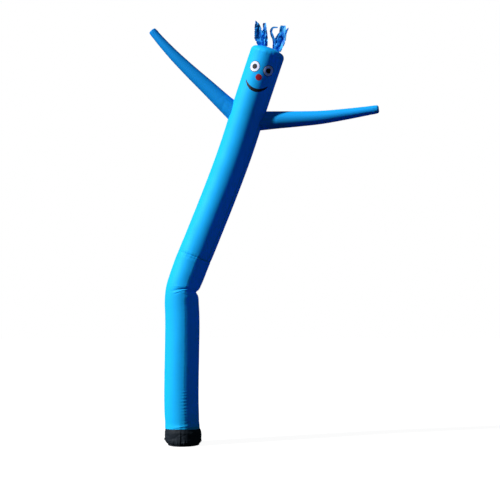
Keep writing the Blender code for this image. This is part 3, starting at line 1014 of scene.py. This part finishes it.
@dataclass
class Sleeve:
    """A tapering arm, from its seam on the body to its closed tip."""

    name: str
    node: str
    body: Body
    finish: NylonFinish
    root_along: float
    root_radius: float
    tip_radius: float
    tip_corner: float
    stations: tuple[Point, ...]
    folds: tuple[Fold, ...]
    seed: int
    seam_angle: float = math.radians(90)
    band: float = 0.036
    sides: int = 88
    spacing: float = 0.0085
    tuck: float = 0.012
    waves: float = 0.0011
    root_puckers: Puckers = Puckers(0.0, 0.055, 0.058, 0.0034, 1)
    band_puckers: Puckers = Puckers(0.0, 0.030, 0.030, 0.0016, 2)
    side_puckers: Puckers = Puckers(0.0, 0.030, 0.036, 0.0006, 3)
    tip_steps: int = 6
    tip_gather: float = 0.0016
    tip_pitch: float = 0.024

    def __post_init__(self) -> None:
        """Works out the centre line."""
        self.spine = Spine(self.stations)
        self.end = self.spine.length - self.tip_corner

    def radius_at(self, along: np.ndarray) -> np.ndarray:
        """Radius of the even taper."""
        taper = (along - self.root_along) / (self.spine.length - self.root_along)
        return self.root_radius + (self.tip_radius - self.root_radius) * taper

    def depth(self, angle: np.ndarray, along: np.ndarray, from_root: np.ndarray) -> np.ndarray:
        """Inward depth of the folds, ripples and puckers."""
        radius = self.radius_at(along)
        beside = turn_between(angle, math.degrees(self.seam_angle)) * radius
        depth = folds_depth(self.folds, angle, along)
        depth = depth + slow_waves(angle, along, self.seed, self.waves)
        for puckers, distance, place in (
                (self.root_puckers, from_root, angle * radius),
                (self.band_puckers, along - (self.end - self.band), angle * radius),
                (self.side_puckers, beside, along)):
            seeded = puckers._replace(seed=self.seed + puckers.seed)
            depth = depth + along_seam(seeded, distance, place)
        return depth

    def ring_points(self, angle: np.ndarray, along: np.ndarray, depth: np.ndarray) -> np.ndarray:
        """Points at a depth inside the even taper."""
        return self.spine.ring(angle, along, BACKWARD, self.radius_at(along) - depth)

    def outer(self, angle: np.ndarray, along: np.ndarray, outset: float) -> np.ndarray:
        """Points on or over the sleeve's cloth, clear of its root."""
        depth = self.depth(angle, along, along - self.root_along)
        return self.ring_points(angle, along, depth - outset)

    def root_start(self, angle: np.ndarray) -> np.ndarray:
        """Where along the arm each line of its cloth meets the inside of the body."""
        inner, outer = np.zeros_like(angle), np.full_like(angle, self.root_along * 2)
        for _ in range(22):
            middle = (inner + outer) / 2
            away = self.body.spine.distance(self.ring_points(angle, middle, middle * 0))
            inside = away < self.body.radius - self.tuck
            inner, outer = np.where(inside, middle, inner), np.where(inside, outer, middle)
        return inner

    def encloses(self, points: np.ndarray, rim: float) -> np.ndarray:
        """Whether points lie inside the sleeve's root, further in than a rim."""
        near = self.spine.at(np.linspace(0.0, self.root_along * 2.4, 120))[0]
        away = np.linalg.norm(points[..., None, :] - near, axis=-1)
        nearest = away.argmin(axis=-1)
        on_side = (nearest > 2) & (nearest < 117)
        return on_side & (away.min(axis=-1) < self.root_radius - rim)

    def build(self) -> bpy.types.Object:
        """Makes the sleeve with its rounded and gathered tip."""
        angle, lift, across = lapped_columns(self.seam_angle, self.root_radius, self.sides)
        angle = angle[None, :]
        start = self.root_start(angle)
        rows = math.ceil((self.end - float(start.min())) / self.spacing)
        share = np.linspace(0, 1, rows + 1)[:, None]
        along = start + (self.end - start) * share
        depth = self.depth(angle, along, along - start - self.tuck) - lift
        body = self.ring_points(angle, along, depth)
        steps = self.tip_steps
        turns = np.linspace(0, math.pi / 2, steps + 1)[1:, None]
        scale = 1 - self.tip_corner / self.tip_radius * (1 - np.cos(turns))
        scale = join_rows(scale, scale[-1] * np.linspace(1, 0.02, steps + 1)[1:, None])
        rise = join_rows(np.sin(turns), np.ones((steps, 1)))
        tip_along = self.end + self.tip_corner * rise
        gather = ripple(angle * self.tip_radius, self.tip_pitch, self.seed + 4)
        gather = self.tip_gather * gather * scale
        points = self.ring_points(angle, tip_along + gather, gather * 0)
        middle = self.spine.at(tip_along + gather)[0]
        depth = self.depth(angle, np.full_like(gather, self.end), gather * 0 + 1.0) - lift
        side = points - middle
        reach = np.linalg.norm(side, axis=-1, keepdims=True)
        tip = middle + side / reach * (reach - depth[..., None]) * scale[..., None]
        last = (1 - scale) * self.tip_radius + self.end + self.tip_corner
        flat_along = join_rows(along, np.broadcast_to(last, (len(last), self.sides + 1)))
        flat = np.stack(np.broadcast_arrays(across, flat_along), axis=-1)
        points = join_rows(body, tip)
        return cloth_object(self.name, points, flat, self.finish.build(), closed=False)


# Stitches


@dataclass
class Stitching:
    """Rows of lockstitches lying on the cloth along its seams."""

    body: Body
    pitch: float = 0.0060
    length: float = 0.0046
    width: float = 0.0004
    outset: float = 0.0006
    off_seam: float = 0.0032

    def stitches(self, surface: Surface, rows: Sequence[tuple[Place, Place]]) -> np.ndarray:
        """Corners of the stitches on one surface.

        Args:
            surface: Gives points for angles, distances along and an outset.
            rows: Angle and distance along of each row's start and end.

        Returns:
            Six points for each stitch: its two ends, then its middle's sides, top and foot.
        """
        made = []
        for start, end in rows:
            steps = np.linspace(0, 1, 60)
            path = surface(*mix_places(start, end, steps), self.outset)
            long = np.linalg.norm(np.diff(path, axis=0), axis=1).sum()
            count = int(long / self.pitch)
            middle = (np.arange(count) + 0.5) / count
            half = self.length / long / 2
            first = surface(*mix_places(start, end, middle - half), self.outset)
            last = surface(*mix_places(start, end, middle + half), self.outset)
            foot = surface(*mix_places(start, end, middle), self.outset)
            out = surface(*mix_places(start, end, middle), self.outset + 0.01) - foot
            out = out / np.linalg.norm(out, axis=1, keepdims=True) * self.width
            side = np.cross(last - first, out)
            side = side / np.linalg.norm(side, axis=1, keepdims=True) * self.width
            around = (foot + side, foot - side, foot + out, foot - out)
            made.append(np.stack([first, last, *around], 1))
        return np.concatenate(made)

    def build(self, name: str, surface: Surface, rows: Sequence[tuple[Place, Place]],
              material: bpy.types.Material) -> bpy.types.Object:
        """Makes one object of all the stitches on a surface."""
        points = self.stitches(surface, rows)
        corner = np.array([[0, 2, 4], [0, 4, 3], [0, 3, 5], [0, 5, 2],
                           [1, 4, 2], [1, 3, 4], [1, 5, 3], [1, 2, 5]])
        faces = np.arange(len(points))[:, None, None] * 6 + corner
        return mesh_object(name, points, faces.reshape(-1, 3), material)

    def twin(self, start: Place, end: Place, radius: float) -> list[tuple[Place, Place]]:
        """Two rows, one on each side of a seam that runs along a tube."""
        turn = self.off_seam / radius
        return [((start[0] + side * turn, start[1]), (end[0] + side * turn, end[1]))
                for side in (-1, 1)]

    def on_lower(self, material: bpy.types.Material) -> bpy.types.Object:
        """The lower length's side seam."""
        seam = math.radians(self.body.low_seam)
        rows = self.twin((seam, 0.262), (seam, self.body.cross_seam), self.body.radius)
        return self.build("lower_seam_thread", self.body.outer, rows, material)

    def on_upper(self, material: bpy.types.Material) -> bpy.types.Object:
        """The upper length's side seam, the cross seam and the seam round the head."""
        seam = math.radians(self.body.high_seam)
        foot, shoulder = self.body.cross_seam, self.body.shoulder
        rows = self.twin((seam, foot), (seam, shoulder), self.body.radius)
        for along in (foot + 0.003, foot + 0.009, shoulder - 0.006):
            rows.append(((seam, along), (seam + math.tau, along)))
        return self.build("upper_seam_thread", self.body.outer, rows, material)

    def on_sleeve(self, sleeve: Sleeve, material: bpy.types.Material) -> bpy.types.Object:
        """A sleeve's side seam and the band round its tip."""
        seam, band = sleeve.seam_angle, sleeve.end - sleeve.band
        clear = sleeve.root_along * 2.0
        rows = self.twin((seam, clear), (seam, sleeve.end), sleeve.root_radius)
        rows.append(((seam, band), (seam + math.tau, band)))
        return self.build(f"{sleeve.node}_thread", sleeve.outer, rows, material)


# Hair


@dataclass(frozen=True)
class Ribbon:
    """One strip of the hair. Its turn is in degrees, its stations from the crown's middle."""

    width: float
    tip_width: float
    turn: float
    crumple: float
    stations: tuple[Point, ...]


@dataclass
class Tuft:
    """Ribbons of cloth sewn to the crown on a small backing."""

    name: str
    node: str
    body: Body
    finish: RibbonFinish
    across: float
    deep: float
    half_wide: float
    half_deep: float
    seed: int
    ribbons: tuple[Ribbon, ...]
    rows: int = 84
    columns: int = 14
    creases: int = 6
    root_share: float = 0.72
    belly: float = 0.4
    seat: float = 0.004
    cup: float = 0.30
    crease_lean: float = 1.1
    crease_pace: tuple[float, float] = (2.5, 9.0)
    crease_reach: float = 0.30
    fray: float = 0.10
    fray_pitch: float = 0.05
    backing_lift: float = 0.0045

    def ribbon(self, ribbon: Ribbon, number: int) -> tuple[np.ndarray, np.ndarray]:
        """Points of one crumpled ribbon and their places on the flat cloth."""
        middle = self.body.crown_place(np.array(0.0), np.array(0.0), np.array(0.0))
        root = ribbon.stations[0]
        knots = [self.body.crown_place(np.array(root[0]), np.array(root[1]), np.array(self.seat))]
        knots += [middle + np.array(station) for station in ribbon.stations[1:]]
        spine = Spine(knots)
        share = np.linspace(0, 1, self.rows)[:, None]
        side = np.linspace(-1, 1, self.columns)[None, :]
        point, back, left = spine.around(share[:, 0] * spine.length, BACKWARD)
        turn = math.pi / 2 + np.radians(ribbon.turn) * share
        wide = back[:, None] * np.cos(turn)[..., None] + left[:, None] * np.sin(turn)[..., None]
        thick = left[:, None] * np.cos(turn)[..., None] - back[:, None] * np.sin(turn)[..., None]
        swell = self.root_share + (1 - self.root_share) * np.sin(
            math.pi / 2 * np.minimum(share / self.belly, 1.0))
        half = (ribbon.tip_width * share**4 + ribbon.width * swell * (1 - share**4)) / 2
        random = np.random.default_rng(self.seed + number)
        crush = self.cup * abs(side) ** 1.3 * half
        for _ in range(self.creases):
            lean = random.uniform(-self.crease_lean, self.crease_lean)
            pace = random.uniform(*self.crease_pace)
            fade = np.exp(-((share - random.uniform(0.1, 1.0)) / self.crease_reach) ** 2)
            saw = (pace * share + lean * side + random.uniform(0, 2)) % 2
            crush = crush + ribbon.crumple * fade * (abs(saw - 1) - 0.5) * random.uniform(0.5, 1.6)
        crush = crush * np.minimum(share * 8, 1.0)
        fray = abs(ripple(share * spine.length, self.fray_pitch, self.seed + number))
        edge = side * half * (1 - self.fray * fray)
        points = point[:, None] + wide * edge[..., None] + thick * crush[..., None]
        flat = np.stack(np.broadcast_arrays(side * half, share * spine.length), axis=-1)
        return points, flat

    def backing(self) -> tuple[np.ndarray, np.ndarray]:
        """Points of the backing, lying on the crown with a rolled edge."""
        share = np.linspace(-1, 1, 15)
        across, deep = np.meshgrid(share, share, indexing="ij")
        squeeze = np.sqrt(1 - 0.25 * np.minimum(across**2 + deep**2, 2.0))
        lift = self.backing_lift * (1 - np.maximum(abs(across), abs(deep)) ** 8)
        lift = lift + 0.0008 * np.sin(9 * across + 5 * deep)
        across = self.across + across * self.half_wide * squeeze
        deep = self.deep + deep * self.half_deep * squeeze
        points = self.body.crown_place(across, deep, lift + 0.0008)
        return points, np.stack([across, deep], axis=-1)

    def build(self) -> bpy.types.Object:
        """Makes the tuft as one piece."""
        material = self.finish.build()
        grids = [self.backing()] + [self.ribbon(r, n) for n, r in enumerate(self.ribbons)]
        parts = [
            cloth_object(f"{self.name}_{n}", points, flat, material, closed=False)
            for n, (points, flat) in enumerate(grids)
        ]
        with bpy.context.temp_override(active_object=parts[0], selected_editable_objects=parts):
            bpy.ops.object.join()
        parts[0].name = self.name
        parts[0].data.name = self.name
        return parts[0]


# Printed face


class Ink(Enum):
    """Inks of the printed face."""

    WHITE = "white_ink"
    BLACK = "black_ink"
    RED = "red_ink"


INK_COLOURS: dict[Ink, tuple[Colour, Colour]] = {
    Ink.WHITE: ((0.80, 0.85, 0.94), (0.16, 0.38, 1.00)),
    Ink.BLACK: ((0.004, 0.005, 0.010), (0.001, 0.002, 0.006)),
    Ink.RED: ((0.42, 0.006, 0.020), (0.20, 0.004, 0.020)),
}


class Spot(NamedTuple):
    """A round spot of ink: place right of and above the face's middle, radius, ink, layer, hole."""

    right: float
    up: float
    radius: float
    ink: Ink
    layer: int
    hole: float = 0.01


@dataclass
class FacePrint:
    """A plain printed face: round eyes with centred pupils, a round nose and a smile line."""

    body: Body
    angle: float = math.radians(-93)
    along: float = 5.045
    layer_step: float = 0.0007
    spots: tuple[Spot, ...] = (
        Spot(-0.098, 0.128, 0.074, Ink.BLACK, 1, 0.86),
        Spot(-0.098, 0.128, 0.067, Ink.WHITE, 2),
        Spot(-0.098, 0.128, 0.035, Ink.BLACK, 3),
        Spot(0.098, 0.128, 0.074, Ink.BLACK, 1, 0.86),
        Spot(0.098, 0.128, 0.067, Ink.WHITE, 2),
        Spot(0.098, 0.128, 0.035, Ink.BLACK, 3),
        Spot(0.0, 0.010, 0.042, Ink.RED, 1),
    )
    smile_half: float = 0.165
    smile_drop: float = 0.092
    smile_up: float = -0.072
    smile_width: float = 0.022
    sides: int = 48
    rings: int = 9
    smile_steps: int = 61

    def place(self, right: np.ndarray, up: np.ndarray, layer: int) -> np.ndarray:
        """Points on the head's cloth, a layer of ink above it."""
        angle = self.angle + right / self.body.radius
        return self.body.surface(angle, self.along + up, outset=self.layer_step * layer)

    def spot_grid(self, spot: Spot) -> tuple[np.ndarray, np.ndarray]:
        """Rings of a round spot, from its rim to its middle."""
        turn = np.arange(self.sides)[None, :] * math.tau / self.sides
        ring = spot.radius * np.linspace(1.0, spot.hole, self.rings)[:, None]
        right = spot.right + ring * np.cos(turn)
        up = spot.up + ring * np.sin(turn)
        points = self.place(right, up, spot.layer)
        flat = np.stack([right, up], axis=-1)
        return points, np.concatenate([flat, flat[:, :1]], axis=1)

    def smile_grid(self) -> tuple[np.ndarray, np.ndarray]:
        """The smile: a curved line, widest in its middle."""
        share = np.linspace(-1, 1, self.smile_steps)[None, :]
        side = np.linspace(-1, 1, 4)[:, None]
        half = self.smile_width * (0.25 + 0.75 * np.sqrt(1 - share**2 * 0.98))
        right = self.smile_half * share + 0 * side
        up = self.smile_up - self.smile_drop * (1 - share**2) + side * half
        return self.place(right, up, 1), np.stack([right, up], axis=-1)

    def build(self) -> list[bpy.types.Object]:
        """Makes each patch of ink."""
        inks = {ink: InkFinish(ink.value, *pair).build() for ink, pair in INK_COLOURS.items()}
        made = []
        for number, spot in enumerate(self.spots):
            points, flat = self.spot_grid(spot)
            made.append(cloth_object(f"print_spot_{number}", points, flat, inks[spot.ink]))
        points, flat = self.smile_grid()
        made.append(cloth_object("print_smile", points, flat, inks[Ink.BLACK], closed=False))
        return made


# Studio


@dataclass
class Studio:
    """Camera, lights, floor and pale surroundings."""

    camera_place: Point = (0.8904, -12.0, 1.8)
    camera_tilt: float = math.radians(93.7437)
    lens: float = 64.33
    sensor: float = 36.0
    sun_turn: float = math.radians(-157)
    sun_height: float = math.radians(33)
    sun_strength: float = 10.1
    sun_softness: float = math.radians(3.5)
    sun_colour: Colour = (1.0, 0.985, 0.96)
    fill_place: tuple[float, float] = (math.radians(-50), math.radians(30))
    fill_strength: float = 0.38
    fill_colour: Colour = (0.50, 0.78, 1.0)
    surround: float = 1.0
    floor_half: float = 40.0
    floor_height: float = -0.001

    def sun(self, name: str, turn: float, height: float, strength: float, softness: float,
            colour: Colour) -> None:
        """Adds a broad, far light.

        Args:
            name: Its name.
            turn: Its bearing, from +X towards +Y.
            height: Its height over the horizon.
            strength: Its power on a square metre.
            softness: The angle that it fills.
            colour: Its colour.
        """
        data = bpy.data.lights.new(name, "SUN")
        data.energy, data.angle, data.color = strength, softness, colour
        made = bpy.data.objects.new(name, data)
        made.rotation_euler = (math.pi / 2 - height, 0, turn + math.pi / 2)
        bpy.context.scene.collection.objects.link(made)

    def build(self) -> None:
        """Makes the studio."""
        scene = bpy.context.scene
        camera = bpy.data.objects.new("camera", bpy.data.cameras.new("camera"))
        camera.data.lens, camera.data.sensor_width = self.lens, self.sensor
        camera.location = self.camera_place
        camera.rotation_euler = (self.camera_tilt, 0, 0)
        scene.collection.objects.link(camera)
        scene.camera = camera
        self.sun("key_light", self.sun_turn, self.sun_height, self.sun_strength,
                 self.sun_softness, self.sun_colour)
        self.sun("fill_light", *self.fill_place, self.fill_strength, math.pi, self.fill_colour)
        half = self.floor_half
        corners = np.array([(-half, -half, 0), (half, -half, 0), (half, half, 0), (-half, half, 0)])
        floor = mesh_object("floor", corners, np.arange(4)[None, :], FloorFinish().build())
        floor.location.z = self.floor_height
        world = bpy.data.worlds.new("surround")
        world.use_nodes = True
        background = world.node_tree.nodes["Background"]
        background.inputs["Color"].default_value = (self.surround, self.surround, self.surround, 1)
        for rays in ("diffuse", "glossy", "transmission"):
            setattr(floor, f"visible_{rays}", False)
            setattr(world.cycles_visibility, rays, False)
        scene.world = world
        scene.view_settings.view_transform = "Standard"


# Assembly


def settle(piece: bpy.types.Object, slot: Slot, *nodes: str) -> bpy.types.Object:
    """Puts a piece on the part.

    Args:
        piece: The piece.
        slot: Not used.
        nodes: The solids that it stands for.

    Returns:
        The piece.
    """
    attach(piece, ROOT)
    if nodes:
        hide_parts(*nodes)
    LOG.info("%s: %d faces", piece.name, len(piece.data.polygons))
    return piece


def arm_sleeves(body: Body) -> list[Sleeve]:
    """The two arms."""
    left = Sleeve(
        name="left_sleeve_cloth",
        node="arm_left",
        body=body,
        # Painted shade: this sleeve's cloth and glow are a darker blue than the body's, standing
        # for the duller light that falls along the arm.
        finish=NylonFinish("left_sleeve_nylon_painted_shade", colour=(0.004, 0.235, 0.640),
                           glow=(0.004, 0.105, 0.880), girth=math.tau * 0.119, rings=(1.645,),
                           seam_half=0.016, ring_weight=1.0, crush=0.05, relief=0.3),
        root_along=0.140,
        root_radius=0.119,
        tip_radius=0.051,
        tip_corner=0.010,
        seed=40,
        folds=(Fold(0.24, 0.03, 150, 60, 0.024, 0.0022), Fold(0.33, -0.02, 200, 60, 0.020, 0.0016)),
        stations=(
            (0.743, -0.185, 4.359),
            (0.642, -0.185, 4.455),
            (0.516, -0.186, 4.576),
            (0.355, -0.187, 4.730),
            (0.031, -0.189, 5.034),
            (-0.131, -0.190, 5.195),
            (-0.293, -0.191, 5.371),
            (-0.428, -0.192, 5.530),
        ),
    )
    right = Sleeve(
        name="right_sleeve_cloth",
        node="arm_right",
        body=body,
        # Painted shade: this sleeve's cloth is a darker blue than the body's, standing for the
        # dimmer light on the arm.
        finish=NylonFinish("right_sleeve_nylon_painted_shade", colour=(0.005, 0.270, 0.660),
                           girth=math.tau * 0.124, rings=(1.625,),
                           seam_half=0.014, ring_weight=0.9, crush=0.10, relief=0.5),
        root_along=0.130,
        root_radius=0.124,
        tip_radius=0.052,
        tip_corner=0.026,
        seed=50,
        folds=(Fold(0.30, 0.02, 170, 60, 0.018, 0.003),),
        stations=(
            (0.930, -0.185, 4.298),
            (1.071, -0.209, 4.300),
            (1.210, -0.233, 4.304),
            (1.528, -0.287, 4.309),
            (1.841, -0.341, 4.319),
            (2.153, -0.394, 4.349),
            (2.575, -0.467, 4.400),
        ),
    )
    return [left, right]


def hair_tufts(body: Body) -> list[Tuft]:
    """The two tufts of ribbons."""
    finish = RibbonFinish()
    left = Tuft(
        name="left_hair_ribbons",
        node="hair_left",
        body=body,
        finish=finish,
        across=-0.086,
        deep=0.002,
        half_wide=0.064,
        half_deep=0.030,
        seed=60,
        ribbons=(
            Ribbon(0.122, 0.008, 8, 0.010, (
                (-0.106, 0.012, 0.000), (-0.136, 0.026, 0.110), (-0.147, 0.022, 0.205),
                (-0.162, 0.012, 0.295), (-0.182, 0.004, 0.362))),
            Ribbon(0.056, 0.042, -14, 0.009, (
                (-0.048, -0.008, 0.000), (-0.048, -0.018, 0.120),
                (-0.058, -0.014, 0.230), (-0.066, -0.002, 0.330))),
            Ribbon(0.058, 0.014, 30, 0.010, (
                (-0.084, -0.018, 0.000), (-0.092, -0.032, 0.105),
                (-0.084, -0.040, 0.180), (-0.080, -0.034, 0.246))),
            Ribbon(0.050, 0.012, -24, 0.010, (
                (-0.068, 0.020, 0.000), (-0.062, 0.040, 0.100),
                (-0.070, 0.056, 0.170), (-0.076, 0.064, 0.216))),
        ),
    )
    right = Tuft(
        name="right_hair_ribbons",
        node="hair_right",
        body=body,
        finish=finish,
        across=0.098,
        deep=-0.034,
        half_wide=0.056,
        half_deep=0.030,
        seed=70,
        ribbons=(
            Ribbon(0.040, 0.014, 0, 0.003, (
                (0.056, -0.052, 0.000), (0.054, -0.072, 0.085), (0.030, -0.078, 0.145),
                (0.020, -0.076, 0.198), (0.040, -0.084, 0.234), (0.108, -0.098, 0.238))),
            Ribbon(0.058, 0.020, 14, 0.008, (
                (0.064, -0.024, 0.000), (0.084, -0.016, 0.075),
                (0.104, -0.010, 0.130), (0.132, -0.008, 0.192))),
            Ribbon(0.104, 0.072, -12, 0.012, (
                (0.124, -0.056, 0.000), (0.160, -0.078, 0.095),
                (0.172, -0.084, 0.185), (0.180, -0.074, 0.270))),
            Ribbon(0.072, 0.040, 20, 0.012, (
                (0.104, -0.032, 0.000), (0.146, -0.036, 0.100),
                (0.152, -0.030, 0.180), (0.156, -0.018, 0.246))),
            Ribbon(0.070, 0.008, 10, 0.011, (
                (0.126, -0.012, 0.000), (0.182, -0.010, 0.095),
                (0.200, -0.022, 0.175), (0.250, -0.046, 0.250))),
        ),
    )
    return [left, right]


def main() -> None:
    """Builds the studio and every piece."""
    logging.basicConfig(level=logging.INFO, format="%(name)s: %(message)s")
    body = Body()
    Studio().build()
    body_finish = NylonFinish("body_nylon", girth=body.girth, rings=(body.cross_seam,))
    cuff = settle(Cuff(body, CuffFinish()).build(), Slot.BLACK, "base_cuff")
    lower = settle(LowerLength(body, body_finish).build(), Slot.BLUE, "body_lower")
    sleeves = arm_sleeves(body)
    upper = settle(UpperLength(body, body_finish).build(sleeves), Slot.BLUE, "body_upper")
    tufts = [settle(tuft.build(), Slot.BLUE, tuft.node) for tuft in hair_tufts(body)]
    inks = [settle(patch, Slot.BLUE) for patch in FacePrint(body).build()]
    stitching, thread = Stitching(body), ThreadFinish().build()
    lower_thread = settle(stitching.on_lower(thread), Slot.BLUE)
    upper_thread = settle(stitching.on_upper(thread), Slot.BLUE)
    for sleeve in sleeves:
        made = settle(sleeve.build(), Slot.BLUE, sleeve.node)
        sewn = settle(stitching.on_sleeve(sleeve, thread), Slot.BLUE)


if __name__ == "__main__":
    main()
